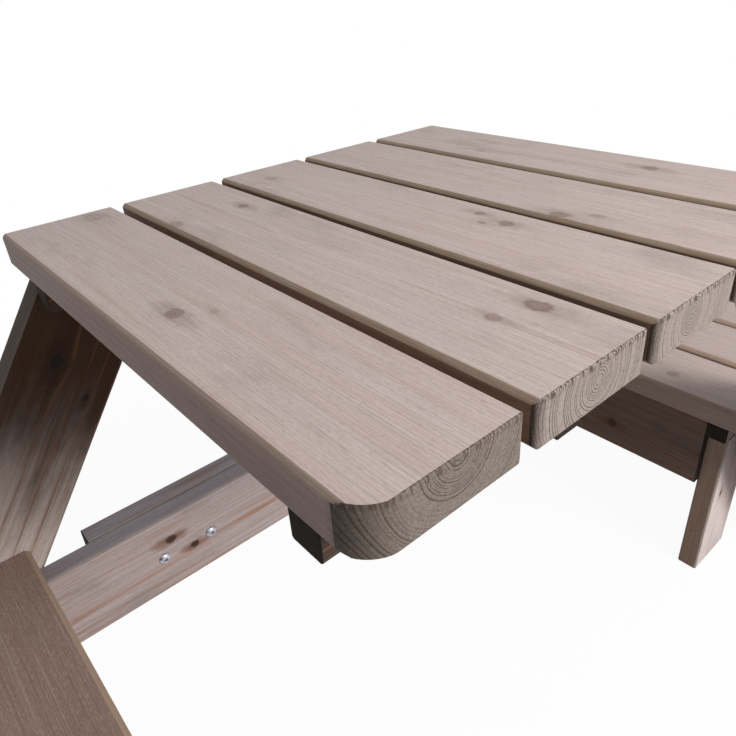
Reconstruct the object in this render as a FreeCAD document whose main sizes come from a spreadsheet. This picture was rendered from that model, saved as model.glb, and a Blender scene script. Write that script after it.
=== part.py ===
import FreeCAD, Part
import math
import os

import Sketcher
from FreeCAD import Rotation, Vector

# Convertible picnic table bench, millimetres, +Z up, floor at z = 0.
# X runs along the tabletop boards, from the left end frame to the free right end.
# Y runs across them, from the front seat to the rear seat. The origin is on the
# floor below the middle of the tabletop.
# The tabletop lies flat for a table. It tilts up about two pivot bolts behind its
# rear board, and then it is the backrest of the rear seat.

doc = FreeCAD.newDocument("ConvertiblePicnicTable")
sheet = doc.addObject("Spreadsheet::Sheet", "Sizes")

DRIVING = [
    ("top_height", 830), ("top_length", 695), ("board_width", 145), ("board_gap", 12),
    ("plank_thick", 43), ("frame_thick", 36), ("edge_round", 5), ("edge_bevel", 3),
    ("corner_round", 34), ("seat_height", 400), ("seat_inner", 498), ("leg_inset", 11),
    ("leg_width", 145), ("leg_slant", 35), ("leg_top_outer", 362), ("leg_clearance", 0.4),
    ("beam_height", 145), ("beam_inner", 70), ("end_setback", 9), ("tie_length", 847),
    ("batten_height", 42), ("seat_batten_height", 32), ("right_leg_start", 296.5),
    ("bench_leg_width", 120), ("bench_leg_start", 209.5), ("bench_leg_setback", 22),
    ("short_beam_inner", 617.5), ("right_bolt_shift", 46),
    ("spine_height", 138), ("spine_front", -54), ("plate_thick", 4), ("side_gap", 1),
    ("pivot_reach", 386),
    ("plate_radius", 20), ("plate_bolt_drop", 58), ("plate_bolt_back", 26),
    ("plate_bolt_pitch", 30), ("plate_bolt_shift", 7), ("bolt_radius", 5),
    ("hole_radius", 5.5), ("head_radius", 10), ("head_height", 5), ("socket_radius", 3.4),
    ("socket_depth", 3), ("nut_width", 17), ("nut_height", 8), ("washer_radius", 11),
    ("washer_height", 2), ("tie_bolt_outer", 331), ("tie_bolt_inner", 246),
    ("bolt_height", 280), ("leg_bolt_spread", 39), ("thread_length", 8),
    ("knob_radius", 19), ("knob_height", 16), ("knob_hollow", 4), ("knob_gap", 0.5),
    ("knob_bore_depth", 10), ("knob_bore_radius", 5.9), ("stop_inner", 401),
    ("stop_outer", 444), ("tilt_limit", 78), ("stop_clearance", 0.6),
]
for row, (alias, value) in enumerate(DRIVING, start=1):
    sheet.set("A%d" % row, alias)
    sheet.set("B%d" % row, str(value))
    sheet.setAlias("B%d" % row, alias)

DERIVED = [
    ("top_under", "top_height - plank_thick"),
    ("seat_under", "seat_height - plank_thick"),
    ("top_depth", "5 * board_width + 4 * board_gap"),
    ("board_pitch", "board_width + board_gap"),
    ("leg_start", "leg_inset - top_length / 2"),
    ("beam_start", "leg_start + frame_thick"),
    ("seat_length", "right_leg_start - beam_start"),
    ("seat_depth", "3 * board_width + 2 * board_gap"),
    ("seat_outer", "seat_inner + seat_depth"),
    ("beam_base", "seat_under - beam_height"),
    ("beam_outer", "seat_outer - end_setback"),
    ("left_batten_start", "beam_start + plate_thick + side_gap"),
    ("right_batten_start", "right_leg_start - plate_thick - side_gap - frame_thick"),
    ("pivot_height", "top_under - batten_height / 2"),
]
for row, (alias, formula) in enumerate(DERIVED, start=len(DRIVING) + 1):
    sheet.set("A%d" % row, alias)
    sheet.set("B%d" % row, "=" + formula)
    sheet.setAlias("B%d" % row, alias)
doc.recompute()

nodes = []
ROUND_SIDES = 12
HEX_SIDES = 6
KNOB_LOBES = 6


def size(alias):
    """The value of one cell of the sheet."""
    return float(sheet.get(alias))


def keep(item, label):
    """Give an object its label and list it as one piece to write."""
    item.Label = label
    nodes.append(item)
    return item


def origin_plane(body, role):
    """The origin plane of a body that has this role."""
    return next(item for item in body.Origin.OriginFeatures if item.Role == role)


def place(item, x, y, z):
    """Bind the place of an object to formulas on the sheet's cells."""
    for axis, formula in zip("xyz", (x, y, z)):
        item.setExpression("Placement.Base." + axis, bound(formula))


def bound(formula):
    """A formula on aliases, rewritten as an expression on the sheet."""
    words = formula.replace("(", " ( ").replace(")", " ) ").split()
    return " ".join("Sizes." + word if word[0].isalpha() else word for word in words)


def rectangle(body, name, plane, wide, tall):
    """A sketched rectangle with one corner at the origin, bound to the sheet."""
    sketch = body.newObject("Sketcher::SketchObject", name)
    sketch.AttachmentSupport = [(origin_plane(body, plane), "")]
    sketch.MapMode = "FlatFace"
    corners = [Vector(0, 0), Vector(100, 0), Vector(100, 50), Vector(0, 50)]
    for index in range(4):
        sketch.addGeometry(Part.LineSegment(corners[index], corners[(index + 1) % 4]))
    for index in range(4):
        sketch.addConstraint(Sketcher.Constraint("Coincident", index, 2, (index + 1) % 4, 1))
        kind = "Horizontal" if index % 2 == 0 else "Vertical"
        sketch.addConstraint(Sketcher.Constraint(kind, index))
    sketch.addConstraint(Sketcher.Constraint("Coincident", 0, 1, -1, 1))
    for label, kind, formula in (("wide", "DistanceX", wide), ("tall", "DistanceY", tall)):
        line = 0 if kind == "DistanceX" else 1
        number = sketch.addConstraint(Sketcher.Constraint(kind, line, 1, line, 2, 100.0))
        sketch.renameConstraint(number, label)
        sketch.setExpression("Constraints." + label, bound(formula))
    return sketch


def edges_where(shape, test):
    """Names of the edges of a shape whose direction and midpoint pass a test."""
    found = []
    for index, edge in enumerate(shape.Edges, start=1):
        first, last = edge.Vertexes[0].Point, edge.Vertexes[-1].Point
        run = last - first
        if run.Length > 0 and test(run.normalize(), edge.CenterOfMass):
            found.append("Edge%d" % index)
    return found


def plank(label, length, depth, height, x, y, z):
    """A frame plank of X, Y and Z sizes given as formulas, with bevelled long edges."""
    body = doc.addObject("PartDesign::Body", label)
    outline = rectangle(body, label + "_outline", "XY_Plane", length, depth)
    pad = body.newObject("PartDesign::Pad", label + "_pad")
    pad.Profile = outline
    pad.setExpression("Length", bound(height))
    doc.recompute()
    box = pad.Shape.BoundBox
    spans = [box.XLength, box.YLength, box.ZLength]
    along = spans.index(max(spans))
    bevel = body.newObject("PartDesign::Chamfer", label + "_bevel")

    def lengthwise(run, middle):
        return abs(run[along]) > 0.9
    bevel.Base = (pad, edges_where(pad.Shape, lengthwise))
    bevel.setExpression("Size", bound("edge_bevel"))
    body.Tip = bevel
    place(body, x, y, z)
    return body


def board(label, length, x, y, z, corner_at=None):
    """A tabletop or seat board along X, rounded along its top and bottom rims.

    corner_at is the depth, 0 or the board's width, of a corner at the right end
    that is rounded off in plan.
    """
    body = doc.addObject("PartDesign::Body", label)
    outline = rectangle(body, label + "_outline", "XY_Plane", length, "board_width")
    pad = body.newObject("PartDesign::Pad", label + "_pad")
    pad.Profile = outline
    pad.setExpression("Length", bound("plank_thick"))
    doc.recompute()
    tip = pad
    if corner_at is not None:
        right_end = pad.Shape.BoundBox.XMax
        corner = body.newObject("PartDesign::Fillet", label + "_corner")

        def free_corner(run, middle):
            at_end = abs(middle.x - right_end) < 0.1
            return abs(run.z) > 0.9 and at_end and abs(middle.y - corner_at) < 0.1
        corner.Base = (pad, edges_where(pad.Shape, free_corner))
        corner.setExpression("Radius", bound("corner_round"))
        doc.recompute()
        tip = corner
    ease = body.newObject("PartDesign::Fillet", label + "_ease")

    def rim(run, middle):
        return abs(run.z) < 0.1
    ease.Base = (tip, edges_where(tip.Shape, rim))
    ease.setExpression("Radius", bound("edge_round"))
    body.Tip = ease
    place(body, x, y, z)
    return keep(body, label)


def outlined(points, start, thickness):
    """A flat piece in a plane across X, from its outline as (y, z) points."""
    wire = Part.makePolygon([Vector(start, y, z) for y, z in points + points[:1]])
    return Part.Face(wire).extrude(Vector(thickness, 0, 0))


def long_edges(shape, direction):
    """Edges of a shape that run along a direction."""
    chosen = []
    for edge in shape.Edges:
        run = (edge.Vertexes[-1].Point - edge.Vertexes[0].Point).normalize()
        if abs(run.dot(direction)) > 0.99:
            chosen.append(edge)
    return chosen


def across_x(x, y, z):
    """The placement that turns a shape's own Z to the world's X, at one point."""
    return FreeCAD.Placement(Vector(x, y, z), Rotation(Vector(0, 1, 0), 90))


def drilled(item, label, spots, start, reach):
    """Cut bolt holes along X through an object, at (y, z) spots.

    Bolt holes and hidden shanks are prisms of a few sides, to keep the facets down.
    """
    tools = []
    for index, (y, z) in enumerate(spots, start=1):
        tool = doc.addObject("Part::Prism", "%s_drill_%d" % (label, index))
        tool.Polygon = ROUND_SIDES
        tool.setExpression("Circumradius", bound("hole_radius"))
        tool.Height = reach
        tool.Placement = across_x(start, y, z)
        tools.append(tool)
    drill = tools[0]
    if len(tools) > 1:
        drill = doc.addObject("Part::MultiFuse", label + "_drills")
        drill.Shapes = tools
    cut = doc.addObject("Part::Cut", label + "_cut")
    cut.Base = item
    cut.Tool = drill
    return keep(cut, label)


def feature(label, shape):
    """A piece whose shape is made with Part's own functions."""
    item = doc.addObject("Part::Feature", label)
    item.Shape = shape
    return keep(item, label)


# Places that several pieces share

top_under = size("top_under")
thick = size("frame_thick")
slope = math.tan(math.radians(size("leg_slant")))
leg_run = size("leg_width") / math.cos(math.radians(size("leg_slant")))
leg_start = size("leg_start")
beam_start = size("beam_start")
right_leg = size("right_leg_start")
pivot = (size("pivot_reach"), size("pivot_height"))
FRONT, REAR = -1, 1


def leg_outer(z):
    """Distance of a slanted leg's outer edge from the middle, at one height."""
    return size("leg_top_outer") + (top_under - z) * slope


def leg_bolt_spots(side, shift=0):
    """Two bolt places on a slanted leg, on the line along its middle, or shifted out."""
    middle_z = size("bolt_height")
    middle_y = leg_outer(middle_z) - leg_run / 2 + shift
    lean = math.radians(size("leg_slant"))
    spread = size("leg_bolt_spread")
    return [(side * (middle_y - step * spread * math.sin(lean)),
             middle_z + step * spread * math.cos(lean)) for step in (1, -1)]


def tie_bolt_spots(side):
    """Two bolt places where a seat beam laps the tie board."""
    height = size("bolt_height")
    return [(side * size(name), height) for name in ("tie_bolt_inner", "tie_bolt_outer")]


def plate_bolt_spots():
    """Two bolt places that hold a hinge plate to its leg."""
    y, z = pivot[0] - size("plate_bolt_back"), pivot[1] - size("plate_bolt_drop")
    return [(y, z), (y - size("plate_bolt_shift"), z - size("plate_bolt_pitch"))]


# Tabletop: five boards, two battens and a spine rail, all on the tilting body

corner_depths = {0: 0, 4: size("board_width")}
for index in range(5):
    board("top_board_%d" % (index + 1), "top_length", "-1 * top_length / 2",
          "%d * board_pitch - top_depth / 2" % index, "top_under", corner_depths.get(index))

batten_ends = {"left": "left_batten_start", "right": "right_batten_start"}
for end, start in batten_ends.items():
    label = "top_batten_" + end
    front = -size("top_depth") / 2 + size("end_setback")
    low = top_under - size("batten_height")
    half = size("batten_height") / 2
    x = size(start)
    reach, height = pivot
    corners = [Vector(x, front, low), Vector(x, reach, low), Vector(x, reach, top_under),
               Vector(x, front, top_under)]
    nose = Part.Arc(corners[1], Vector(x, reach + half, height), corners[2]).toShape()
    runs = [Part.makeLine(corners[0], corners[1]), nose,
            Part.makeLine(corners[2], corners[3]), Part.makeLine(corners[3], corners[0])]
    item = doc.addObject("Part::Feature", label + "_bar")
    item.Shape = Part.Face(Part.Wire(runs)).extrude(Vector(thick, 0, 0))
    bore = doc.addObject("Part::Cylinder", label + "_bore")
    bore.setExpression("Radius", bound("hole_radius"))
    bore.Height = thick + 2
    bore.Placement = across_x(x - 1, *pivot)
    bored = doc.addObject("Part::Cut", label + "_bored")
    bored.Base = item
    bored.Tool = bore
    keep(bored, label)

keep(plank("spine_rail", "right_batten_start - left_batten_start - frame_thick",
           "plank_thick", "spine_height", "left_batten_start + frame_thick",
           "spine_front", "top_under - spine_height"), "spine_rail")

# Slanted legs: one at the front of the left end, two at the rear. The right one laps a
# short beam, which starts further out, so its bolts are further out too.

right_leg_spots = leg_bolt_spots(REAR, size("right_bolt_shift"))

LEGS = [("front_left_leg", leg_start, FRONT), ("rear_left_leg", leg_start, REAR),
        ("rear_right_leg", right_leg, REAR)]
for label, start, side in LEGS:
    head = top_under - size("leg_clearance")
    outline = [(side * leg_outer(0), 0), (side * (leg_outer(0) - leg_run), 0),
               (side * (leg_outer(head) - leg_run), head), (side * leg_outer(head), head)]
    leg = outlined(outline, start, thick)
    lean = Vector(0, -side * slope, 1).normalize()
    item = doc.addObject("Part::Feature", label + "_plank")
    item.Shape = leg.makeChamfer(size("edge_bevel"), long_edges(leg, lean))
    spots = leg_bolt_spots(side)
    if start == right_leg:
        spots = right_leg_spots
    if side == REAR:
        spots = spots + plate_bolt_spots()
    drilled(item, label, spots, start - 1, thick + 2)

# Left end frame: seat beams on the legs' inner faces, lapped on a tie board

for side, word in ((FRONT, "front"), (REAR, "rear")):
    label = word + "_seat_beam"
    edge = "-1 * beam_outer" if side == FRONT else "beam_inner"
    beam = plank(label + "_plank", "frame_thick", "beam_outer - beam_inner", "beam_height",
                 "beam_start", edge, "beam_base")
    drilled(beam, label, leg_bolt_spots(side) + tie_bolt_spots(side), beam_start - 1, thick + 2)

tie = plank("tie_board_plank", "frame_thick", "tie_length", "beam_height",
            "leg_start", "-1 * tie_length / 2", "beam_base")
drilled(tie, "tie_board", tie_bolt_spots(FRONT) + tie_bolt_spots(REAR), leg_start - 1, thick + 2)

short_beam = plank("rear_right_beam_plank", "frame_thick", "beam_outer - short_beam_inner",
                   "beam_height", "right_leg_start - frame_thick", "short_beam_inner",
                   "beam_base")
drilled(short_beam, "rear_right_beam", right_leg_spots, right_leg - thick - 1, thick + 2)

# Seats: three boards each, a batten on two straight legs, and an apron rail

for side, word in ((FRONT, "front"), (REAR, "rear")):
    for index in range(3):
        label = "%s_seat_board_%d" % (word, index + 1)
        near = "seat_inner + %d * board_pitch" % index
        if side == FRONT:
            near = "-1 * ( seat_inner + %d * board_pitch + board_width )" % index
        board(label, "seat_length", "beam_start", near, "seat_under")
    edge = "seat_inner + end_setback" if side == REAR else "-1 * beam_outer"
    keep(plank(word + "_seat_batten", "frame_thick", "beam_outer - seat_inner - end_setback",
               "seat_batten_height", "bench_leg_start", edge,
               "seat_under - seat_batten_height"),
         word + "_seat_batten")
    inner_leg = "seat_inner + bench_leg_setback"
    outer_leg = "beam_outer - bench_leg_width"
    if side == FRONT:
        inner_leg = "-1 * ( seat_inner + bench_leg_setback + bench_leg_width )"
        outer_leg = "-1 * beam_outer"
    for spot, edge in (("inner", inner_leg), ("outer", outer_leg)):
        label = "%s_bench_leg_%s" % (word, spot)
        keep(plank(label, "frame_thick", "bench_leg_width", "seat_under - seat_batten_height",
                   "bench_leg_start", edge, "0"), label)
    edge = "seat_inner + end_setback + 1"
    if side == FRONT:
        edge = "-1 * ( seat_inner + end_setback + 1 + frame_thick )"
    keep(plank(word + "_apron_rail", "bench_leg_start - beam_start - frame_thick",
               "frame_thick", "beam_height", "beam_start + frame_thick", edge, "beam_base"),
         word + "_apron_rail")

# Hinge plates on the rear legs, and the stops that the raised tabletop leans on


def hinge_plate(start):
    """A steel plate, round at both ends, from the pivot down to the leg."""
    radius = size("plate_radius")
    reach, height = pivot
    low_y, low_z = plate_bolt_spots()[1]
    ends = []
    for y, z in ((reach, height), (low_y, low_z)):
        ends.append(Part.makeCylinder(radius, size("plate_thick"), Vector(start, y, z),
                                      Vector(1, 0, 0)))
    run = Vector(0, reach - low_y, height - low_z).normalize()
    across = Vector(0, run.z, -run.y) * radius
    web = [(reach + across.y, height + across.z), (low_y + across.y, low_z + across.z),
           (low_y - across.y, low_z - across.z), (reach - across.y, height - across.z)]
    plate = outlined(web, start, size("plate_thick"))
    for end in ends:
        plate = plate.fuse(end)
    return plate.removeSplitter()


def backrest_stop(start):
    """A wedge block on a leg's outer edge, cut to meet the raised tabletop."""
    reach, height = pivot
    tilt = math.radians(size("tilt_limit"))
    half = size("batten_height") / 2
    edge_gap = size("top_depth") / 2 - reach
    face_y = reach + edge_gap * math.cos(tilt) + half * math.sin(tilt)
    face_z = height - edge_gap * math.sin(tilt) + half * math.cos(tilt)

    def face(y):
        return face_z + (y - face_y) / math.tan(tilt) - size("stop_clearance")

    def leg_edge(y):
        return top_under - (y - size("leg_top_outer")) / slope
    inner, outer = size("stop_inner"), size("stop_outer")
    outline = [(inner, leg_edge(inner)), (outer, leg_edge(outer)), (outer, face(outer)),
               (inner, face(inner))]
    return outlined(outline, start, thick)


plate_starts = {"left": beam_start, "right": right_leg - size("plate_thick")}
for end, start in plate_starts.items():
    item = doc.addObject("Part::Feature", "hinge_plate_%s_blank" % end)
    item.Shape = hinge_plate(start)
    drilled(item, "hinge_plate_" + end, [pivot] + plate_bolt_spots(), start - 1,
            size("plate_thick") + 2)
for end, start in (("left", leg_start), ("right", right_leg)):
    feature("backrest_stop_" + end, backrest_stop(start))

# Bolts with domed hex socket heads, and cap nuts on washers


def ring(sides, radius, x):
    """A regular polygon across X, as a closed wire."""
    points = [Vector(x, radius * math.cos(math.tau * turn / sides),
                     radius * math.sin(math.tau * turn / sides)) for turn in range(sides + 1)]
    points[-1] = points[0]
    return Part.makePolygon(points)


def prism(sides, radius, start, end):
    """A regular prism along X between two places."""
    return Part.Face(ring(sides, radius, start)).extrude(Vector(end - start, 0, 0))


def bolt(y, z, head_x, tip_x, turns=False):
    """A bolt along X, with its domed head standing on head_x and its end at tip_x.

    The shank is round where a piece turns on it, and a prism elsewhere.
    """
    radius, rise = size("head_radius"), size("head_height")
    steps = [(0, 1), (0.35, 0.95), (0.75, 0.72), (1, 0.45)]
    head = Part.makeLoft([ring(ROUND_SIDES, radius * wide, rise * high) for high, wide in steps],
                         True, True)
    socket = prism(HEX_SIDES, size("socket_radius"), rise - size("socket_depth"), rise + 1)
    head = head.cut(socket)
    length, shank_radius = abs(head_x - tip_x), size("bolt_radius")
    shank = prism(ROUND_SIDES, shank_radius, -length, 0)
    if turns:
        shank = Part.makeCylinder(shank_radius, length, Vector(-length, 0, 0), Vector(1, 0, 0))
    return stood_on(head.fuse(shank), y, z, head_x, 1 if head_x > tip_x else -1)


def cap_nut(y, z, face_x, out):
    """A washer and a closed nut on a face across X, as one piece."""
    washer_top = size("washer_height")
    washer = prism(ROUND_SIDES, size("washer_radius"), 0, washer_top)
    body = prism(HEX_SIDES, size("nut_width") / math.sqrt(3), washer_top,
                 washer_top + size("nut_height"))
    return stood_on(washer.fuse(body), y, z, face_x, out)


def stood_on(shape, y, z, face_x, out):
    """A shape made outwards from x = 0, stood on a face that looks along out."""
    if out < 0:
        shape = shape.mirror(Vector(0, 0, 0), Vector(1, 0, 0))
    shape.translate(Vector(face_x, y, z))
    return shape


def bolted(word, spots_and_ends):
    """Write a joint's bolts as one node and its cap nuts as another.

    Each entry is (y, z, face of the head, face of the nut).
    """
    bolts = [bolt(y, z, head, far) for y, z, head, far in spots_and_ends]
    nuts = [cap_nut(y, z, far, 1 if far > head else -1) for y, z, head, far in spots_and_ends]
    feature(word + "_bolts", Part.makeCompound(bolts))
    feature(word + "_nuts", Part.makeCompound(nuts))


beam_face = beam_start + thick
right_face = right_leg + thick
plate = size("plate_thick")
bolted("tie", [(y, z, beam_face, leg_start)
               for y, z in tie_bolt_spots(FRONT) + tie_bolt_spots(REAR)])
bolted("leg", [(y, z, leg_start, beam_face)
               for y, z in leg_bolt_spots(FRONT) + leg_bolt_spots(REAR)]
       + [(y, z, right_leg - thick, right_face) for y, z in right_leg_spots])
bolted("plate", [(y, z, beam_start + plate, leg_start) for y, z in plate_bolt_spots()]
       + [(y, z, right_leg - plate, right_face) for y, z in plate_bolt_spots()])

# Pivot bolts through the plates and battens, and the hand knobs that clamp them


def hand_knob(face_x, out):
    """A star knob with finger hollows, bored for the bolt, on a face across X."""
    radius, gap = size("knob_radius"), size("knob_gap")
    outline = []
    for turn in range(KNOB_LOBES):
        angles = [math.tau * (turn + part) / KNOB_LOBES for part in (0.3, 0.5, 0.7, 1.0, 1.3)]
        reaches = [radius, radius, radius, radius - size("knob_hollow"), radius]
        rim = [Vector(0, reach * math.cos(angle), reach * math.sin(angle))
               for angle, reach in zip(angles, reaches)]
        outline.append(Part.Arc(rim[0], rim[1], rim[2]).toShape())
        outline.append(Part.Arc(rim[2], rim[3], rim[4]).toShape())
    star = Part.Face(Part.Wire(outline)).extrude(Vector(size("knob_height") - gap, 0, 0))
    star.translate(Vector(gap, 0, 0))
    star = star.cut(prism(ROUND_SIDES, size("knob_bore_radius"), 0, size("knob_bore_depth")))
    return stood_on(star, pivot[0], pivot[1], face_x, out)


left_inner = size("left_batten_start") + thick
right_inner = size("right_batten_start")
thread = size("thread_length")
pivot_bolts = [bolt(*pivot, beam_start, left_inner + thread, turns=True),
               bolt(*pivot, right_leg, right_inner - thread, turns=True)]
feature("pivot_bolts", Part.makeCompound(pivot_bolts))
feature("hand_knob_left", hand_knob(left_inner, 1))
feature("hand_knob_right", hand_knob(right_inner, -1))

# Check every object, then write each piece to its own file

doc.recompute()
for item in doc.Objects:
    if "Invalid" in item.State or "Error" in item.State:
        raise RuntimeError("%s failed: %s" % (item.Label, item.State))
for item in nodes:
    if item.Shape.isNull() or not item.Shape.isValid():
        raise RuntimeError("%s has no valid shape" % item.Label)

os.makedirs("parts", exist_ok=True)
for item in nodes:
    item.Shape.exportStep("parts/%s.step" % item.Label)
print("%d pieces written" % len(nodes))
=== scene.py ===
"""A convertible picnic table in grey-brown stained pine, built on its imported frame."""

import math

import bmesh
import bpy
import numpy as np
from mathutils import Matrix, Vector


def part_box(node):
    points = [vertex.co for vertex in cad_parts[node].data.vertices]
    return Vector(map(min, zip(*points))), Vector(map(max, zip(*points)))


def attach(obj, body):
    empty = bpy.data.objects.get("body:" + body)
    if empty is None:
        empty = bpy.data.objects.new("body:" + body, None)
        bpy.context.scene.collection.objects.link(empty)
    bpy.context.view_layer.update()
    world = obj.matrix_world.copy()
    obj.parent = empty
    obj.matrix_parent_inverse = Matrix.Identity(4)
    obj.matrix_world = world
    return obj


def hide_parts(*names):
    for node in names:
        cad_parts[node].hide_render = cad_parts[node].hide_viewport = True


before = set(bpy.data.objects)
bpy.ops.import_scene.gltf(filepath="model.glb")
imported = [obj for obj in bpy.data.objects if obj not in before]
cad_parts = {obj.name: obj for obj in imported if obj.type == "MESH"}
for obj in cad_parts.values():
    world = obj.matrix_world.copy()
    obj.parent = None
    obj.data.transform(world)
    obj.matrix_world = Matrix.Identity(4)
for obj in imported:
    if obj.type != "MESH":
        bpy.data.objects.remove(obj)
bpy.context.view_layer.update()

MM = 0.001
X, Y, Z = Vector((1, 0, 0)), Vector((0, 1, 0)), Vector((0, 0, 1))

# Sizes in millimetres that aren't read from the frame
TABLE_BEVEL, SEAT_BEVEL, FRAME_BEVEL, SMALL_BEVEL = 4.6, 6.5, 3.0, 2.5
BOARD_EASE, FRAME_EASE = 1.8, 0.9        # where a plank's end turns into its sides
SOFT_CORNER, FREE_CORNER = 7.0, 34.0     # a board's right-hand corners, in plan
BATTEN_NOSE = 20.8                       # a top batten's round rear end
TORN_DEPTH, FULLY_TORN = 7, 3            # below the upper edge of a sawn end
HEAD_HEIGHT, SHANK_RADIUS, TIP_RADIUS = 5.0, 5.0, 4.4


# The camera of the photograph, and the light

def aim_camera():
    """Stands the camera where the board edges of the photograph put it."""
    right = Vector((0.65474, 0.75340, -0.06071))
    up = Vector((-0.33766, 0.36337, 0.86835))
    back = Vector((0.67626, -0.54806, 0.49228))
    lens = bpy.data.cameras.new("camera")
    lens.sensor_width, lens.lens, lens.shift_y = 36, 31.92, -0.0295
    lens.clip_start, lens.clip_end = 0.02, 60
    camera = bpy.data.objects.new("camera", lens)
    camera.matrix_world = Matrix.Translation((0.5539, -0.5390, 1.0828)) @ Matrix(
        (right, up, back)).transposed().to_4x4()
    bpy.context.scene.collection.objects.link(camera)
    bpy.context.scene.camera = camera


def hang_lamp(name, place, target, width, watts, tint):
    """Hangs a square soft lamp at a place, facing a target."""
    lamp = bpy.data.lights.new(name, "AREA")
    lamp.size, lamp.energy, lamp.color = width, watts, tint
    holder = bpy.data.objects.new(name, lamp)
    holder.location = place
    holder.rotation_euler = (Vector(target) - Vector(place)).to_track_quat("-Z", "Y").to_euler()
    bpy.context.scene.collection.objects.link(holder)


# Finishes: nodes are added by one method, and wires do arithmetic

class Wire:
    """A value inside a finish. Arithmetic on it adds Math nodes."""

    def __init__(self, finish, socket):
        self.finish, self.socket = finish, socket

    def maths(self, operation, *others):
        return self.finish.node("Math", {"operation": operation},
                                dict(enumerate((self, *others))))

    def __add__(self, other):
        return self.maths("ADD", other)

    def __sub__(self, other):
        return self.maths("SUBTRACT", other)

    def __rsub__(self, other):
        return self.finish.node("Math", {"operation": "SUBTRACT"}, {0: other, 1: self})

    def __mul__(self, other):
        return self.maths("MULTIPLY", other)

    def __truediv__(self, other):
        return self.maths("DIVIDE", other)

    def __pow__(self, other):
        return self.maths("POWER", other)

    __radd__, __rmul__ = __add__, __mul__


class Finish:
    """A material, or the world, whose nodes are named by kind, settings and inputs."""

    def __init__(self, name, owner=None):
        self.material = owner or bpy.data.materials.new(name)
        self.material.use_nodes = True
        self.tree = self.material.node_tree
        self.tree.nodes.clear()

    def node(self, kind, settings=None, inputs=None, out=0):
        made = self.tree.nodes.new("ShaderNode" + kind)
        for key, value in (settings or {}).items():
            setattr(made, key, value)
        for key, value in (inputs or {}).items():
            if isinstance(value, Wire):
                self.tree.links.new(value.socket, made.inputs[key])
            else:
                made.inputs[key].default_value = value
        return Wire(self, made.outputs[out]) if made.outputs else None

    def split(self, vector, kind="SeparateXYZ"):
        """The three numbers of a vector or colour."""
        first = self.node(kind, None, {0: vector})
        return [Wire(self, socket) for socket in first.socket.node.outputs]

    def vector(self, operation, first, *others):
        return self.node("VectorMath", {"operation": operation},
                         dict(enumerate((first, *others))))

    def noise(self, place, detail=2.0, rough=0.5, out=0, scale=1.0):
        return self.node("TexNoise", None, {"Vector": place, "Scale": scale, "Detail": detail,
                                            "Roughness": rough}, out)

    def step(self, value, low, high):
        """0 below low and 1 above high, smooth between them."""
        return self.node("MapRange", {"interpolation_type": "SMOOTHSTEP"},
                         {"Value": value, "From Min": low, "From Max": high})

    def blend(self, mask, under, over, how="MIX"):
        """A colour laid over another where the mask is 1."""
        return self.node("Mix", {"data_type": "RGBA", "blend_type": how},
                         {0: mask, 6: under, 7: over}, 2)

    def unseen(self):
        """1 for the rays that light the object, 0 for those that show the background."""
        plain = 1.0
        for way in ("Is Camera Ray", "Is Glossy Ray", "Is Transmission Ray"):
            plain = plain * (1 - self.node("LightPath", None, None, way))
        return plain

    def close(self, shader, kind="OutputMaterial"):
        self.node(kind, None, {"Surface": shader})
        return self.material


def paint(red, green, blue):
    """A colour as the screen shows it, 0 to 255, as the shader's linear colour."""
    shown = np.array([red, green, blue]) / 255
    linear = np.where(shown <= 0.04045, shown / 12.92, ((shown + 0.055) / 1.055) ** 2.4)
    return (*linear.tolist(), 1.0)


def part_round_knots(wood, u, v, ragged, knots, tone):
    """The grain parted round its knots, and four fields that draw them.

    A knot pulls v towards itself, so that the grain's lines spread round it. Its outline
    is a circle plus a ragged noise. The fields are its inside, a longer smudge along the
    grain on both sides of it, its own rings, and its bark.
    """
    fields = None
    for along, across, radius, strength in knots:
        du = (u - along) / radius
        dv = (v - across) / radius
        pull = ((du * du * 0.06 + dv * dv * 0.22) * -1).maths("EXPONENT")
        v = v - (v - across) * pull * 0.8
        reach = (du * du * 0.7 + dv * dv).maths("SQRT") + (ragged - 0.5) * tone["ragged"]
        trail = (du * du * 0.1 + dv * dv * 0.8).maths("SQRT") + (ragged - 0.5) * 2.4
        own = [wood.step(reach, 1.3, 0.8) * strength,
               wood.step(trail, 2.1, 0.4) * strength,
               reach * (radius / tone["ring"] * 1.3),
               wood.step(reach, 1.5, 1.1) * wood.step(reach, 0.5, 1.0) * strength]
        if fields is None:
            fields = own
        else:
            ways = ("MAXIMUM", "MAXIMUM", "MINIMUM", "MAXIMUM")
            fields = [field.maths(way, more) for field, way, more in zip(fields, ways, own)]
    return v, fields


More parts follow.
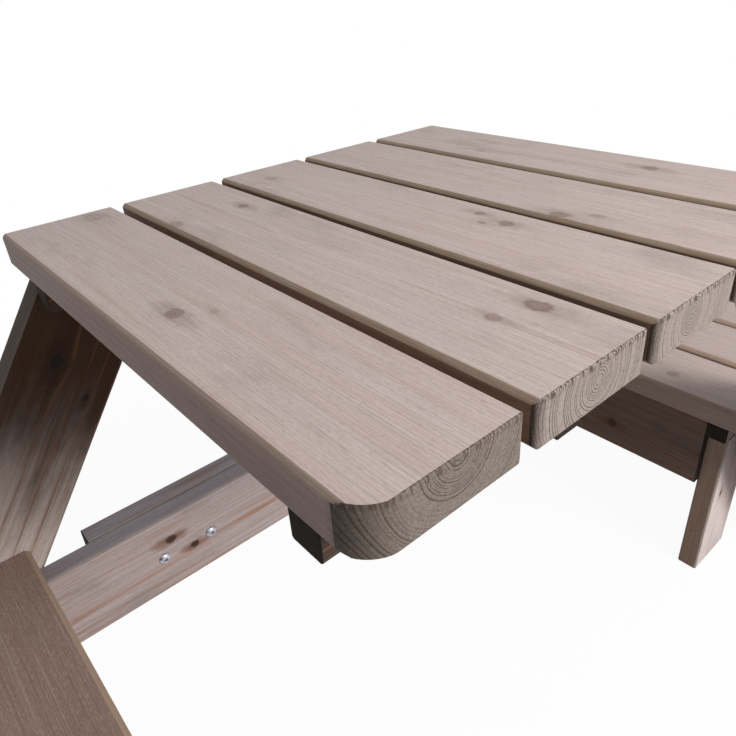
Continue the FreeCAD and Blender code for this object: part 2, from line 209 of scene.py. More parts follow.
def stained_pine(name, middle, turn, thickness, heart, knots, tone, seed):
    """Stained pine, as one solid field cut by the plank's faces, in millimetres.

    u runs along the grain, v across the face and w through the plank. Growth rings are
    circles round the heart, at (v, w), and their line is darkest just before each ring
    ends. Noise stretched along the grain makes them wander, each year's line has its own
    darkness, and inside a knot the rings are the knot's own.
    """
    wood = Finish(name)
    spot = wood.node("TexCoord", None, None, "Object")
    local = wood.node("Mapping", {"vector_type": "TEXTURE"},
                      {"Vector": spot, "Location": middle, "Rotation": turn.to_euler(),
                       "Scale": (MM, MM, MM)})
    shift = (31.7 * seed, 17.3 * seed, 7.9 * seed)

    def stretched(along, across):
        return wood.vector("MULTIPLY_ADD", local, (along, across, across), shift)

    # Growth rings round the heart, and how dark each year's line is
    u, v, w = wood.split(local)
    height = w
    drift = wood.split(wood.noise(stretched(0.0019, 0.011), 2.0, 0.5, "Color"), "SeparateColor")
    v = v + (drift[0] - 0.5) * tone["wander"]
    w = w + (drift[1] - 0.5) * tone["wander"]
    if knots:
        ragged = wood.noise(stretched(0.05, 0.09), 4.0, 0.7)
        v, (knot, smudge, inner, bark) = part_round_knots(wood, u, v, ragged, knots, tone)
    dv, dw = v - heart[0], w - heart[1]
    away = (dv * dv + dw * dw).maths("SQRT")
    swell = wood.noise(wood.node("CombineXYZ", None, {0: away * 0.06, 1: seed * 3.1}), 1.0)
    rings = away / tone["ring"] + swell * 5.0
    if knots:
        rings = rings + (inner - rings) * wood.step(knot, 0.3, 0.7)
    phase = rings.maths("FRACT")
    year = wood.noise(wood.node("CombineXYZ", None, {0: (rings - phase) * 0.61,
                                                     1: seed * 1.7}), 0.0)
    late = (phase ** 3.2) * (1 - phase ** 18) * wood.step(year, 0.25, 0.62)

    # Noise from the finest fibre to clouds of stain, and the faces' own attributes
    fibre = wood.noise(stretched(0.016, 0.85), 3.0, 0.65)
    thread = wood.noise(stretched(0.0045, 0.30), 2.0, 0.5)
    streak = wood.noise(stretched(0.0030, 0.060), 2.0, 0.55)
    cloud = wood.noise(stretched(0.007, 0.017), 3.0, 0.65)
    cells = wood.noise(stretched(1.1, 1.1), 3.0, 0.7)
    pores = wood.noise(stretched(0.16, 1.1), 2.0, 0.6)
    rays = wood.noise(stretched(0.2, 0.30), 2.0, 0.6)
    arris, sawn, shaded_side, corner_shade = [
        wood.node("Attribute", {"attribute_name": label}, None, "Fac")
        for label in ("arris", "sawn", "shaded_side", "corner_shade")]
    end = wood.step(sawn, 0.35, 0.8)

    # The long faces: rings, clouds, hairs, pores and knots, then painted shade on a leg's top, on
    # the narrow sides and on the bevels
    colour = wood.blend(wood.step(streak, tone["warm_from"], 0.74) * tone["warmth"],
                        tone["pale"], tone["warm"])
    colour = wood.blend(late * tone["line_strength"], colour, tone["line"])
    colour = wood.blend(wood.step(cloud, 0.50, 0.74) * tone["cloud_strength"], colour,
                        tone["grey"])
    hair = wood.step((thread - 0.5).maths("ABSOLUTE"), 0.016, 0.002)
    colour = wood.blend(hair * 0.30, colour, tone["line"])
    colour = wood.blend(wood.step(thread, 0.60, 0.72) * 0.22, colour, tone["worn"])
    colour = wood.blend(wood.step(pores, 0.50, 0.66) * 0.26, colour, tone["line"])
    colour = wood.blend(wood.step(pores, 0.44, 0.30) * 0.26, colour, tone["worn"])
    if knots:
        colour = wood.blend(smudge * tone["smudge"], colour, tone["halo"])
        colour = wood.blend(knot * 0.6, colour, tone["blush"])
        core = knot * (late * 0.45 + tone["knot_depth"])
        core = core + bark * wood.step(cloud, 0.42, 0.6) * 0.3
        colour = wood.blend(core.maths("MINIMUM", 0.96), colour, tone["knot"])
    colour = wood.blend(wood.step(fibre, 0.40, 0.66) * 0.18, colour, tone["line"])
    # Painted shade: a leg darkened towards its top, where the tabletop shades it
    if "under_top_shade" in tone:
        leg_top_shade = wood.step(u + (cloud - 0.5) * 200 + (streak - 0.5) * 160, -70, 310)
        colour = wood.blend(leg_top_shade * 0.98, colour, tone["under_top_shade"], "MULTIPLY")
    if "flame" in tone:
        slow = (rings * 0.21).maths("FRACT")
        tongue = wood.step(slow, 0.80, 0.91) * wood.step(slow, 1.0, 0.95)
        colour = wood.blend(tongue * wood.step(cloud, 0.36, 0.54) * 0.6, colour, tone["flame"])
    # Painted shade: the narrow long sides darkened by a multiplier
    colour = wood.blend(shaded_side, colour, tone["shaded_side"], "MULTIPLY")
    # Painted shade: the bevels darker and warmer, broken up by the fibre
    shaded_bevel = wood.step(arris, 0.03, 0.10)
    colour = wood.blend(shaded_bevel * (0.55 + wood.step(fibre, 0.35, 0.6) * 0.35), colour,
                        tone["arris"])

    # The sawn ends: rings, cells, painted shade in a corner, and teeth torn below the upper face
    cut_face = wood.blend(wood.step(rays, 0.40, 0.66) * 0.5, tone["end"], tone["end_grey"])
    cut_face = wood.blend(wood.step(late, 0.05, 0.4) * (0.40 + wood.step(cells, 0.3, 0.6) * 0.4),
                          cut_face, tone["end_line"])
    cut_face = wood.blend(wood.step(cells, 0.54, 0.68) * 0.5, cut_face, tone["end_line"])
    # Painted shade: an end darkened in its corner next to the side that v runs away from; the same
    # dark colour also draws the torn teeth
    cut_face = wood.blend(corner_shade * tone["corner_shade"], cut_face, tone["torn_and_shaded_end"])
    teeth = wood.noise(wood.vector("MULTIPLY", local, (0.30, 0.38, 0.05)), 2.0, 0.6)
    torn = wood.step(height, thickness / 2 - TORN_DEPTH, thickness / 2 - FULLY_TORN)
    cut_face = wood.blend(wood.step(teeth, 0.48, 0.56) * torn * 0.8, cut_face, tone["torn_and_shaded_end"])
    cut_face = wood.blend(wood.step(cells, 0.42, 0.30) * 0.4, cut_face, tone["end_speck"])
    colour = wood.blend(end, colour, cut_face)

    # Relief and sheen
    grain_relief = (fibre * 0.6 + late * -0.3 + thread * 0.3) * (1 - end)
    end_relief = (cells * 0.8 + late * -0.7) * end
    relief = wood.node("Bump", None, {"Strength": 0.7, "Distance": 0.00045,
                                      "Height": grain_relief + end_relief})
    rough = 0.55 + fibre * 0.14 + end * 0.2
    return wood.close(wood.node("BsdfPrincipled", None, {
        "Base Color": colour, "Roughness": rough, "Normal": relief, "IOR": 1.45,
        "Specular IOR Level": 0.2}))


def zinc_plate():
    """Zinc plated steel, with fine grains of brightness and a few dull patches."""
    steel = Finish("zinc_plate")
    spot = steel.node("TexCoord", None, None, "Object")
    grain = steel.noise(spot, 2.0, scale=900)
    cloud = steel.noise(spot, 3.0, scale=120)
    colour = steel.blend(steel.step(cloud, 0.35, 0.7), paint(196, 199, 206), paint(160, 162, 170))
    relief = steel.node("Bump", None, {"Strength": 0.3, "Distance": 0.00005, "Height": grain})
    return steel.close(steel.node("BsdfPrincipled", None, {
        "Base Color": colour, "Metallic": 1.0, "Roughness": cloud * 0.25 + 0.22,
        "Normal": relief}))


def moulded_black():
    """Black moulded plastic, lightly spark eroded."""
    plastic = Finish("moulded_black")
    spot = plastic.node("TexCoord", None, None, "Object")
    pebble = plastic.noise(spot, 2.0, scale=1400)
    colour = plastic.blend(plastic.step(pebble, 0.3, 0.7), paint(38, 38, 40), paint(52, 52, 54))
    relief = plastic.node("Bump", None, {"Strength": 0.5, "Distance": 0.00008,
                                         "Height": pebble})
    return plastic.close(plastic.node("BsdfPrincipled", None, {
        "Base Color": colour, "Roughness": pebble * 0.2 + 0.42, "Normal": relief}))


# Shapes: every one is rings of points, joined by quads and closed at both ends

def planed(length, width, thickness, arris, ease, corners, slope, support=1.0, crown=0.3):
    """Rings of a plank along u, each a bevelled rectangle in v and w, from end to end.

    A ring's corner point is the corner's centre plus (arris - inset) times a direction,
    which is 0.7 of the way along a straight bevel's line and 0.3 of a round's arc, so the
    bevel is a little crowned. A point beside each bevel holds the flat face flat. At both
    ends the inset grows as a quarter circle, inset = ease * (1 - sin t) at ease * (1 -
    cos t) from the end. At the far end the two corners in plan are cut: v stays inside
    half width - (R - sqrt(R^2 - x^2)), x being how far u is past the start of the round.
    A slope moves u by slope * v.
    """
    t = np.linspace(0, math.pi / 2, 4)
    tip = np.r_[0, ease * (1 - np.cos(t)), ease + support]
    inset = np.r_[ease + support, ease * (1 - np.sin(t)), 0]
    half = length / 2
    bend = np.sin(np.linspace(0, 1.45, 15))
    curve = np.concatenate([half - radius + radius * bend for radius in corners])
    curve = np.unique(np.round(curve[curve < half - ease - 1.5 * support], 3))
    u = np.concatenate([tip - half, curve, half - tip[::-1]])
    inset = np.concatenate([inset, np.zeros(len(curve)), inset[::-1]])
    past = [np.clip(u - (half - radius), 0, radius) for radius in corners]
    cut = [radius - np.sqrt(radius ** 2 - x ** 2) for radius, x in zip(corners, past)]
    turn = np.r_[0, np.linspace(0, 1, 6), 1] * math.pi / 2
    slide = np.r_[-support, np.zeros(6), support]
    angle = turn + np.arange(4)[:, None] * math.pi / 2
    quarter = (np.arange(4)[:, None] * math.pi / 2)
    into = np.stack([-np.sin(quarter), np.cos(quarter)], -1) * np.minimum(slide, 0)[:, None]
    onto = np.stack([-np.cos(quarter), -np.sin(quarter)], -1) * np.maximum(slide, 0)[:, None]
    radius = np.maximum(arris - inset, 0.15)[:, None, None]
    arc = np.stack([np.cos(angle), np.sin(angle)], -1)
    bevel = arc[:, :1] + (arc[:, -1:] - arc[:, :1]) * (turn / turn[-1])[:, None]
    edge = arc * crown + bevel * (1 - crown)
    square = np.sign(np.stack([np.cos(quarter + 0.7), np.sin(quarter + 0.7)], -1))
    halves = np.stack([width / 2 - inset, thickness / 2 - inset], -1)[:, None, None]
    flat = (square * (halves - radius[..., None])
            + radius[..., None] * edge + into + onto)
    flat = flat.reshape(len(u), -1, 2)
    v = np.clip(flat[..., 0], (-width / 2 + cut[0] + inset)[:, None],
                (width / 2 - cut[1] - inset)[:, None])
    return np.stack([u[:, None] + slope * v, v, flat[..., 1]], -1) * MM


def eased_slab(corners, rounds, thickness, ease, support=1.0):
    """Rings of a slab whose outline is a convex polygon, with both rims eased.

    An outline point is the corner's centre plus (radius - inset) times a direction, and
    the points beside the arc slide a little along the straight sides. From the top face
    down, the rim is a quarter circle: inset = ease * (1 - sin t) and depth = ease *
    (1 - cos t).
    """
    corners, rounds = np.array(corners, float), np.array(rounds, float)
    into = corners - np.roll(corners, 1, axis=0)
    onto = np.roll(into, -1, axis=0)
    into, onto = [side / np.linalg.norm(side, axis=1, keepdims=True) for side in (into, onto)]
    normals = [np.stack([-side[:, 1], side[:, 0]], axis=1) for side in (into, onto)]
    bisector = (normals[0] + normals[1]) / (1 + (normals[0] * normals[1]).sum(1))[:, None]
    start = np.arctan2(-normals[0][:, 1], -normals[0][:, 0])
    sweep = np.arctan2(into[:, 0] * onto[:, 1] - into[:, 1] * onto[:, 0],
                       (into * onto).sum(1))
    share = np.r_[0, np.linspace(0, 1, 11), 1]
    slide = np.r_[-support, np.zeros(11), support]
    angle = start[:, None] + sweep[:, None] * share
    direction = np.stack([np.cos(angle), np.sin(angle)], axis=-1)
    sliding = (into[:, None] * np.minimum(slide, 0)[:, None]
               + onto[:, None] * np.maximum(slide, 0)[:, None])
    t = np.linspace(0, math.pi / 2, 4)
    inset = np.r_[ease + support, ease * (1 - np.sin(t)), 0]
    depth = np.r_[0, ease * (1 - np.cos(t)), ease + support]
    inset = np.concatenate([inset, inset[::-1]])[:, None, None]
    height = thickness / 2 - np.concatenate([depth, thickness - depth[::-1]])
    held = np.maximum(rounds[:, None], inset)
    radius = np.maximum(rounds[:, None] - inset, 0)
    flat = (corners[:, None] + bisector[:, None] * held[..., None]
            + direction * radius[..., None] + sliding)
    height = np.broadcast_to(height[:, None, None, None], (*flat.shape[:3], 1))
    return np.concatenate([flat, height], axis=-1).reshape(len(inset), -1, 3) * MM


def turned(profile, spots, sides=48, order=(0, 1, 2)):
    """Rings of turned or six-sided pieces along X, one copy at each spot.

    A profile row is (height, radius, hex). The radius stays the same round a circle, and
    for a hexagon it is radius / cos(angle from the middle of the nearest flat). A spot is
    (x, y, z, way), where way is 1 or -1 along X. An order of (1, 2, 0) stands them along Z.
    """
    rows = np.array(profile, float)
    angle = np.arange(sides) * math.tau / sides
    flat = (angle + math.pi / 6) % (math.pi / 3) - math.pi / 6
    reach = rows[:, 1:2] * np.where(rows[:, 2:3] > 0, 1 / np.cos(flat), 1.0)
    spots = np.array(spots, float)[:, :, None, None]
    points = np.stack(np.broadcast_arrays(
        spots[:, 3] * rows[:, 0:1], reach * np.cos(angle), reach * np.sin(angle)), axis=-1)
    return (points[..., list(order)] + spots[:, :3, 0, 0][:, None, None, :]) * MM


def make_piece(name, copies, finish, body, stands_for, axes=None, crisp=35):
    """Joins rings of points into closed shells, and puts the piece on its body.

    On a plank each face keeps four numbers from its normal: sawn is three times its share
    along the grain, up to 1, arris, the mask for the bevels' painted shade, is 1 - the larger
    share across or through the plank, where it doesn't face along it, the side mask for
    painted shade is 1 on the two narrow long sides, and the corner mask for painted shade
    is 1.5 - 1.2 times the share along the grain where an end is rounded into the side that
    v runs away from.
    """
    number, count, around = copies.shape[:3]
    index = np.arange(number * count * around).reshape(number, count, around)
    here, ahead = index, np.roll(index, -1, axis=2)
    quads = np.stack([here[:, :-1], here[:, 1:], ahead[:, 1:], ahead[:, :-1]], axis=-1)
    faces = quads.reshape(-1, 4).tolist()
    faces += index[:, 0].tolist() + index[:, -1, ::-1].tolist()
    mesh = bpy.data.meshes.new(name)
    mesh.from_pydata(copies.reshape(-1, 3), [], faces)
    shell = bmesh.new()
    shell.from_mesh(mesh)
    bmesh.ops.remove_doubles(shell, verts=shell.verts, dist=2e-6)
    bmesh.ops.dissolve_degenerate(shell, dist=1e-6, edges=shell.edges)
    bmesh.ops.recalc_face_normals(shell, faces=shell.faces)
    for face in shell.faces:
        face.smooth = True
    shell.to_mesh(mesh)
    shell.free()
    mesh.set_sharp_from_angle(angle=math.radians(crisp))
    if axes is not None:
        normals = np.empty(len(mesh.polygons) * 3)
        mesh.polygons.foreach_get("normal", normals)
        facing = normals.reshape(-1, 3) @ np.array(axes)
        share = np.abs(facing)
        sawn = np.clip(share[:, 0] * 3, 0, 1)
        arris = (1 - np.maximum(share[:, 1], share[:, 2])) * (sawn < 0.6)
        shaded_side = (share[:, 1] > 0.95) * 1.0
        corner_shade = np.clip(1.5 - 1.2 * share[:, 0], 0, 1) * (share[:, 0] > 0.05) * (
            share[:, 2] < 0.2) * (facing[:, 1] < 0)
        for label, values in (("sawn", sawn), ("arris", arris), ("shaded_side", shaded_side),
                              ("corner_shade", corner_shade)):
            kept = mesh.attributes.new(label, "FLOAT", "FACE")
            kept.data.foreach_set("value", values.astype(np.float32))
    mesh.materials.append(finish)
    piece = bpy.data.objects.new(name, mesh)
    bpy.context.scene.collection.objects.link(piece)
    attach(piece, body)
    if stands_for:
        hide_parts(*stands_for)


def cad_points(node):
    """The corners of a CAD node's mesh."""
    return np.array([tuple(vertex.co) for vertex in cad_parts[node].data.vertices])


def wound(points):
    """Outline points put in order round their middle, anticlockwise."""
    arm = points - points.mean(0)
    return points[np.argsort(np.arctan2(arm[:, 1], arm[:, 0]))]


def lay_plank(node, body, grain, thin, tone, heart, knots, arris=FRAME_BEVEL,
              corners=(0.2, 0.2), ease=FRAME_EASE, outline=None):
    """Cuts one plank to its CAD node's place and finishes it.

    Its own axes are u along the grain, w through it and v = w x u across its face. A
    plank whose grain leans has level ends: its run across and its height come from the
    node's box, and slope is how far u moves for each step of v along a level cut. A block
    with an outline of (y, z) corners in millimetres is cut to it across X.
    """
    low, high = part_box(node)
    middle, extent = (low + high) / 2, (high - low) / MM
    across = thin.cross(grain)
    turn = Matrix((grain, across, thin)).transposed()
    length, width, thickness = [abs(extent.dot(axis)) for axis in (grain, across, thin)]
    slope = 0.0
    if outline is not None:
        sides = np.array([grain[1:], across[1:]])
        flat = (outline - np.array(middle)[1:] / MM) @ sides.T
        rings = eased_slab(wound(flat), [1.5] * 4, thickness, arris)
    else:
        if grain.y and grain.z:
            length = extent.z / grain.z
            width = (extent.y - extent.z * abs(grain.y) / grain.z) * grain.z
            slope = -across.z / grain.z
        rings = planed(length, width, thickness, arris, ease, corners, slope)
    placed = rings @ np.array(turn).T + np.array(middle)
    seed = 1.0 + sum(ord(letter) for letter in node) % 37
    finish = stained_pine(node + "_stain", middle, turn, thickness, heart, knots, tone, seed)
    make_piece("planed_" + node, placed[None], finish, body, [node], turn)


def leaning(side):
    """The direction of a slanted leg's grain, from its outer edge's two end points."""
    points = cad_points("front_left_leg" if side < 0 else "rear_left_leg")
    level = 0.5 * MM
    foot = np.abs(points[points[:, 2] < level, 1]).max()
    head = np.abs(points[points[:, 2] > points[:, 2].max() - level, 1]).max()
    lean = Vector((0, side * (head - foot), float(points[:, 2].max() - points[:, 2].min())))
    return lean.normalized()


# The stain's colours on the tabletop, the seats and the frame; several also hold painted shade,
# and one painted light

# On the tabletop the narrow-side multiplier, the bevel colour and the dark in an end's corner are
# painted shade
TABLE = {"pale": paint(220, 203, 197), "line": paint(152, 131, 122), "warm": paint(212, 189, 177),
         "grey": paint(176, 162, 157), "halo": paint(150, 132, 122), "knot": paint(84, 68, 60),
         "blush": paint(160, 132, 118), "worn": paint(228, 214, 206),
         "arris": paint(180, 154, 134), "shaded_side": (0.85, 0.81, 0.80, 1),
         "end": paint(137, 127, 120), "end_grey": paint(114, 105, 98),
         "end_line": paint(66, 56, 49), "end_speck": paint(210, 203, 196),
         "torn_and_shaded_end": paint(88, 75, 63), "corner_shade": 0.42, "ragged": 1.9, "ring": 2.7,
         "line_strength": 0.52, "warmth": 0.5, "warm_from": 0.42, "cloud_strength": 0.5,
         "smudge": 0.5, "knot_depth": 0.24, "wander": 9.0}
# Boards with a neighbour: sides, bevels and end corners darker in the gaps, as painted shade
GAP_SHADED = dict(TABLE, shaded_side=(0.38, 0.30, 0.24, 1), arris=paint(166, 143, 114),
              end=paint(166, 155, 149), end_grey=paint(138, 129, 123),
              end_line=paint(78, 69, 62), torn_and_shaded_end=paint(62, 51, 41), corner_shade=0.95)
SEAT = dict(TABLE, pale=paint(212, 195, 188), line=paint(146, 127, 118), ring=3.1)
# The near seat: a darker, browner copy of the seat's stain, as painted shade from the tabletop
SHADED_SEAT = dict(SEAT, pale=paint(158, 133, 121), line=paint(106, 84, 72),
                 warm=paint(146, 118, 100), grey=paint(130, 112, 102))
# The frame: its narrow long sides darkened bluish, and its bevel colour, are painted shade; its
# near-black sawn ends are darker end grain and partly painted shade
BEAM = {"pale": paint(204, 193, 195), "line": paint(150, 112, 90), "warm": paint(180, 130, 100),
        "grey": paint(164, 157, 156), "halo": paint(132, 90, 68), "knot": paint(40, 24, 22),
        "blush": paint(92, 54, 40), "worn": paint(216, 207, 208), "arris": paint(140, 127, 120),
        "shaded_side": (0.60, 0.63, 0.68, 1), "end": paint(46, 39, 35), "end_grey": paint(38, 32, 29),
        "end_line": paint(26, 21, 18), "end_speck": paint(88, 78, 71),
        "torn_and_shaded_end": paint(34, 28, 24), "corner_shade": 0.7, "ragged": 1.1, "ring": 4.4,
        "line_strength": 0.55, "warmth": 0.8, "warm_from": 0.50, "cloud_strength": 0.7,
        "smudge": 0.8, "knot_depth": 0.75, "wander": 18.0}
# The bench legs: a paler copy of the frame's stain, as painted light, with painted shade on their
# narrow sides
LIT_BENCH = dict(BEAM, pale=paint(240, 228, 229), warmth=0.3, cloud_strength=0.3, line_strength=0.35,
             shaded_side=(0.55, 0.44, 0.34, 1))
# Rails under the seats and the tabletop: a darker copy of the frame's stain, as painted shade
SHADED_FRAME = dict(BEAM, pale=paint(130, 111, 103), line=paint(92, 67, 53), warm=paint(118, 84, 64),
            grey=paint(98, 86, 80), worn=paint(150, 118, 96), halo=paint(104, 66, 46),
            arris=paint(76, 63, 55), flame=paint(166, 114, 80))
# The tabletop's battens: darker still, as painted shade under the tabletop
SHADED_BATTEN = dict(SHADED_FRAME, pale=paint(86, 70, 62), line=paint(60, 44, 35), warm=paint(80, 57, 44),
              grey=paint(68, 58, 52), worn=paint(98, 78, 64), arris=paint(56, 46, 40))
# The legs: darkened towards their top, as painted shade under the tabletop
LEG = dict(BEAM, pale=paint(240, 228, 222), warm=paint(214, 180, 156), grey=paint(204, 194, 188),
           ring=3.2, under_top_shade=(0.075, 0.034, 0.010, 1), flame=paint(140, 94, 64),
           knot=paint(30, 18, 14))

aim_camera()

# Tabletop. A knot is (u, v, radius, strength), and a heart is (v, w).

TOP_KNOTS = [
    [(33, -25, 8, 0.9), (56, 2, 4, 0.4), (-318, 34, 12, 0.3)],
    [(-197, 34, 6, 0.9), (-202, -62, 8, 0.4), (262, 45, 9, 0.85), (246, 2, 6, 0.6)],
    [(63, 43, 6, 0.8), (108, 34, 8, 0.8), (86, 22, 5, 0.5), (-281, -25, 8, 0.4)],
    [(138, -58, 9, 0.8), (172, -40, 7, 0.5)],
    [(118, 19, 9, 0.8), (-140, -30, 5, 0.4)],
]
TOP_HEARTS = [(6, 24), (2, 5), (-12, 3), (26, -12), (-18, -2)]
for number in range(5):
    plan = (FREE_CORNER if number == 0 else SOFT_CORNER,
            FREE_CORNER if number == 4 else SOFT_CORNER)
    lay_plank("top_board_%d" % (number + 1), "tabletop", X, Z,
              GAP_SHADED if number else TABLE, TOP_HEARTS[number], TOP_KNOTS[number],
              TABLE_BEVEL, plan, BOARD_EASE)
for end in ("left", "right"):
    lay_plank("top_batten_" + end, "tabletop", Y, X, SHADED_BATTEN, (40, 30),
              [(180, 4, 6, 0.8)], SMALL_BEVEL, (BATTEN_NOSE, BATTEN_NOSE))
lay_plank("spine_rail", "tabletop", X, Y, SHADED_FRAME, (-60, 70), [(90, 20, 8, 0.9)])

# Frame

LEGS = [
    ("front_left_leg", -1, [(315, 17, 11, 1.0), (272, -39, 4, 0.9), (-180, 20, 7, 0.8)]),
    ("rear_left_leg", 1, [(120, 20, 8, 0.9), (-260, -24, 6, 0.8)]),
    ("rear_right_leg", 1, [(-90, -22, 8, 0.9)]),
]
for node, side, knots in LEGS:
    lay_plank(node, "frame", leaning(side), X, LEG, (34, -60), knots)
lay_plank("front_seat_beam", "frame", Y, X, BEAM, (-14, -54),
          [(195, 28, 7, 1.0), (231, -11, 5.5, 1.0), (-120, 20, 8, 0.9)])
lay_plank("rear_seat_beam", "frame", Y, X, BEAM, (12, -60),
          [(-200, -30, 6, 0.9), (90, 24, 8, 0.9)])
lay_plank("tie_board", "frame", Y, X, BEAM, (-22, 80), [(-60, 30, 6, 0.9)])
lay_plank("rear_right_beam", "frame", Y, X, BEAM, (-10, -74),
          [(40, -26, 6, 0.9)])
SEAT_KNOTS = [[(-150, 30, 7, 0.6)], [(120, -24, 9, 0.5), (-40, 40, 5, 0.5)],
              [(60, 22, 6, 0.6), (230, -36, 8, 0.4)]]
SEAT_HEARTS = [(-26, 5), (18, -1), (2, -7)]
for row, (word, tone) in enumerate((("front", SHADED_SEAT), ("rear", SEAT))):
    for number in range(3):
        lay_plank("%s_seat_board_%d" % (word, number + 1), "frame", X, Z, tone,
                  SEAT_HEARTS[number], SEAT_KNOTS[(number + row) % 3], SEAT_BEVEL,
                  (SOFT_CORNER, SOFT_CORNER), BOARD_EASE)
    lay_plank(word + "_seat_batten", "frame", Y, X, BEAM, (30, 40), [],
              SMALL_BEVEL)
    for spot, place in (("inner", 1), ("outer", -1)):
        lay_plank("%s_bench_leg_%s" % (word, spot), "frame", Z, X, LIT_BENCH,
                  (18 * place, -64), [(20 * place, 26, 5, 0.7)])
    lay_plank(word + "_apron_rail", "frame", X, Y, SHADED_FRAME, (-16, -72),
              [(60, 20, 8, 0.9), (-150, -24, 6, 0.9)])
for end in ("left", "right"):
    node = "backrest_stop_" + end
    corners = np.unique(np.round(cad_points(node)[:, 1:] / MM, 2), axis=0)
    lay_plank(node, "frame", Z, X, BEAM, (20, -40), [], 1.0, outline=corners)

# Steel and plastic. A profile's rows are (height, radius, 1 where it is six-sided).

zinc, black = zinc_plate(), moulded_black()
HEAD = [(0, 0, 0), (0, 9.6, 0), (0.5, 10, 0), (1.2, 9.9, 0), (2.4, 9.1, 0), (3.5, 7.7, 0),
        (4.3, 6.2, 0), (4.8, 4.9, 0), (4.95, 4.3, 0), (4.7, 3.3, 1), (2.0, 3.3, 1), (1.9, 0, 0)]
NUT = [(0, 0, 0), (0, 10.8, 0), (0.3, 11, 0), (1.7, 11, 0), (2, 10.7, 0), (2, 8.5, 1),
       (8.6, 8.5, 1), (9.2, 8.1, 1), (9.4, 7.6, 0), (9.9, 5, 0), (10, 0, 0)]
SCREW = [(-1.2, 0, 0), (-1.2, 2.2, 0), (-0.1, 4.1, 0), (0.2, 4.1, 0), (0.35, 3.8, 0),
         (0.3, 1.9, 1), (-0.6, 1.9, 1), (-0.7, 0, 0)]


def fasteners(node, wide):
    """Each solid of a fastener node: its lowest and highest corner and its wide end.

    Points on the same side of the middle that are within a washer's width of each other,
    seen along X, are of one solid. The wide end is 1 or -1 along X, where the points are
    that stand more than a given distance from the solid's own middle line.
    """
    points = cad_points(node) / MM
    washer, far_apart = 21, 2000.0
    place = np.column_stack([(points[:, 0] > 0) * far_apart, points[:, 1:]])
    near = np.linalg.norm(place[:, None] - place[None], axis=2) < washer
    first = np.argmax(near, axis=1)
    for repeat in range(3):
        first = np.where(near, first[None], len(first)).min(axis=1)
    found = []
    for group in np.unique(first):
        solid = points[first == group]
        low, high = solid.min(0), solid.max(0)
        middle = (low + high) / 2
        reach = np.hypot(solid[:, 1] - middle[1], solid[:, 2] - middle[2])
        found.append((low, high, 1 if solid[reach > wide, 0].mean() > middle[0] else -1))
    return found


for node in ("tie_bolts", "leg_bolts", "plate_bolts", "pivot_bolts"):
    found = fasteners(node, 8)
    under_heads = [(high[0] - HEAD_HEIGHT if way > 0 else low[0] + HEAD_HEIGHT,
                    (low[1] + high[1]) / 2, (low[2] + high[2]) / 2, way)
                   for low, high, way in found]
    length = found[0][1][0] - found[0][0][0] - HEAD_HEIGHT
    shank = [(0.4, 0, 0), (0.4, SHANK_RADIUS, 0), (-length + 0.6, SHANK_RADIUS, 0),
             (-length, TIP_RADIUS, 0), (-length, 0, 0)]
    make_piece("domed_" + node, turned(HEAD, under_heads), zinc, "frame", [node],
               crisp=40)
    make_piece("shanks_of_" + node, turned(shank, under_heads, 24), zinc, "frame",
               None, crisp=40)
for node in ("tie_nuts", "leg_nuts", "plate_nuts"):
    seats = [(high[0] if way > 0 else low[0], (low[1] + high[1]) / 2,
              (low[2] + high[2]) / 2, -way) for low, high, way in fasteners(node, 10.5)]
    make_piece("cap_" + node, turned(NUT, seats), zinc, "frame", [node], crisp=30)


def drive_screws(name, body, planks, crossing):
    """Countersunk screws up into planks that cross a batten, two to each plank."""
    aside, apart, margin = 7, 32, 12
    low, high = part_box(crossing)
    x = (low.x + high.x) / 2 / MM
    middles = [(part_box(node)[0].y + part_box(node)[1].y) / 2 / MM for node in planks]
    spots = [(x + aside * side, y + apart * side, low.z / MM, -1)
             for y in middles for side in (1, -1)
             if low.y / MM + margin < y + apart * side < high.y / MM - margin]
    make_piece(name, turned(SCREW, spots, 24, (1, 2, 0)), zinc, body, None,
               crisp=30)


for end in ("left", "right"):
    drive_screws("screws_in_top_batten_" + end, "tabletop",
                 ["top_board_%d" % number for number in range(1, 6)], "top_batten_" + end)

pivot_low, pivot_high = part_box("pivot_bolts")
pivot = (pivot_low + pivot_high) / 2


def pressed_plate(node):
    """A flat steel plate, round at both ends, cut from the run between its end bores."""
    low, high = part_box(node)
    top = Vector((0, pivot.y, pivot.z))
    bottom = Vector((0, low.y + high.z - pivot.z, low.z + high.z - pivot.z))
    run = (top - bottom).normalized()
    centre = (top + bottom) / 2
    centre.x = (low.x + high.x) / 2
    half_width = (high.z - pivot.z) / MM
    half_length = (top - bottom).length / MM / 2 + half_width
    a, b = half_length, half_width
    rings = eased_slab([(-a, -b), (a, -b), (a, b), (-a, b)], [b - 0.01] * 4,
                       (high.x - low.x) / MM, ease=0.5, support=0.5)
    placed = rings @ np.array(Matrix((run, X.cross(run), X)).transposed()).T + np.array(centre)
    make_piece("pressed_" + node, placed[None], zinc, "frame", [node], crisp=60)


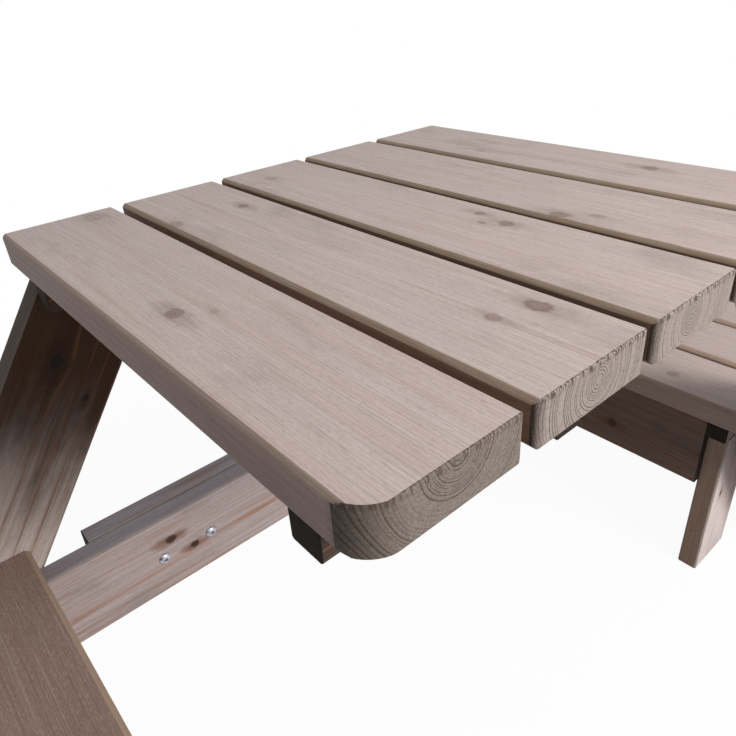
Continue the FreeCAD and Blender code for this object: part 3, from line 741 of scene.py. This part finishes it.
def star_knob(node, body, way):
    """A knob with six lobes, round again towards the middle of its cap.

    At full size its radius is tip - hollow * (0.5 + 0.5 cos(6 angle)) ** 2. A profile row
    is (height, share), and the share's square root mixes the lobes with a round core.
    """
    tip, hollow, core, steps = 19, 4, 12, 96
    low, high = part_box(node)
    base = (low.x if way > 0 else high.x) / MM
    profile = np.array([(0.0, 0.0), (0.0, 0.80), (0.7, 0.92), (2.0, 0.98), (4.5, 1.0), (10.5, 1.0),
                        (13.2, 0.97), (14.6, 0.90), (15.3, 0.78), (15.5, 0.60), (15.3, 0.50),
                        (14.4, 0.46), (14.4, 0.0)])
    angle = np.arange(steps) * math.tau / steps
    lobe = tip - hollow * (0.5 + 0.5 * np.cos(6 * angle)) ** 2
    shrink = profile[:, 1:2]
    reach = shrink * (lobe * shrink ** 0.5 + core * (1 - shrink ** 0.5))
    points = np.stack(np.broadcast_arrays(
        base + way * profile[:, 0:1], pivot.y / MM + reach * np.cos(angle),
        pivot.z / MM + reach * np.sin(angle)), axis=-1) * MM
    make_piece("moulded_" + node, points[None], black, body, [node], crisp=50)


for end, way in (("left", 1), ("right", -1)):
    pressed_plate("hinge_plate_" + end)
    star_knob("hand_knob_" + end, end + "_knob", way)


# Light, floor and background

def lay_floor():
    """A wide floor that shows white, with the object's shadow near its middle.

    What the camera sees is a share of glow and a share of lit white. The share of glow
    grows with the distance from the middle, so the floor runs out to plain white.
    """
    half, near, far = 14, 0.9, 2.4
    mesh = bpy.data.meshes.new("floor")
    mesh.from_pydata([(-half, -half, 0), (half, -half, 0), (half, half, 0), (-half, half, 0)],
                     [], [(0, 1, 2, 3)])
    pale = Finish("pale_floor")
    lit = pale.node("BsdfDiffuse", None, {"Color": (0.34, 0.33, 0.32, 1)})
    seen = pale.node("BsdfDiffuse", None, {"Color": (1, 1, 1, 1)})
    glow = pale.node("Emission", None, {"Color": (1, 1, 1, 1), "Strength": 1.0})
    spot = pale.node("TexCoord", None, None, "Object")
    away = pale.node("VectorMath", {"operation": "LENGTH"}, {0: spot}, "Value")
    share = 0.95 + pale.step(away, near, far) * 0.05
    white = pale.node("MixShader", None, {0: share, 1: seen, 2: glow})
    mesh.materials.append(pale.close(pale.node("MixShader", None,
                                               {0: pale.unseen(), 1: white, 2: lit})))
    floor = bpy.data.objects.new("floor", mesh)
    floor.location.z = -0.0005
    bpy.context.scene.collection.objects.link(floor)


def hang_sky():
    """Soft light, strongest overhead, and white wherever the background is seen."""
    world = bpy.data.worlds.new("studio")
    bpy.context.scene.world = world
    sky = Finish("studio", world)
    spot = sky.node("TexCoord", None, None, "Generated")
    height = sky.split(spot)[2].maths("MAXIMUM", 0.0)
    soft = sky.node("Background", None, {"Color": (0.92, 0.95, 1.0, 1),
                                         "Strength": height * height * 0.53 + 0.125})
    white = sky.node("Background", None, {"Color": (1, 1, 1, 1), "Strength": 1.0})
    sky.close(sky.node("MixShader", None, {0: sky.unseen(), 1: white, 2: soft}),
              "OutputWorld")


lay_floor()
hang_sky()
hang_lamp("key", (2.15, 0.5, 1.72), (0, -0.1, 0.55), 0.9, 54, (1.0, 0.96, 0.92))
bpy.context.scene.view_settings.view_transform = "Standard"
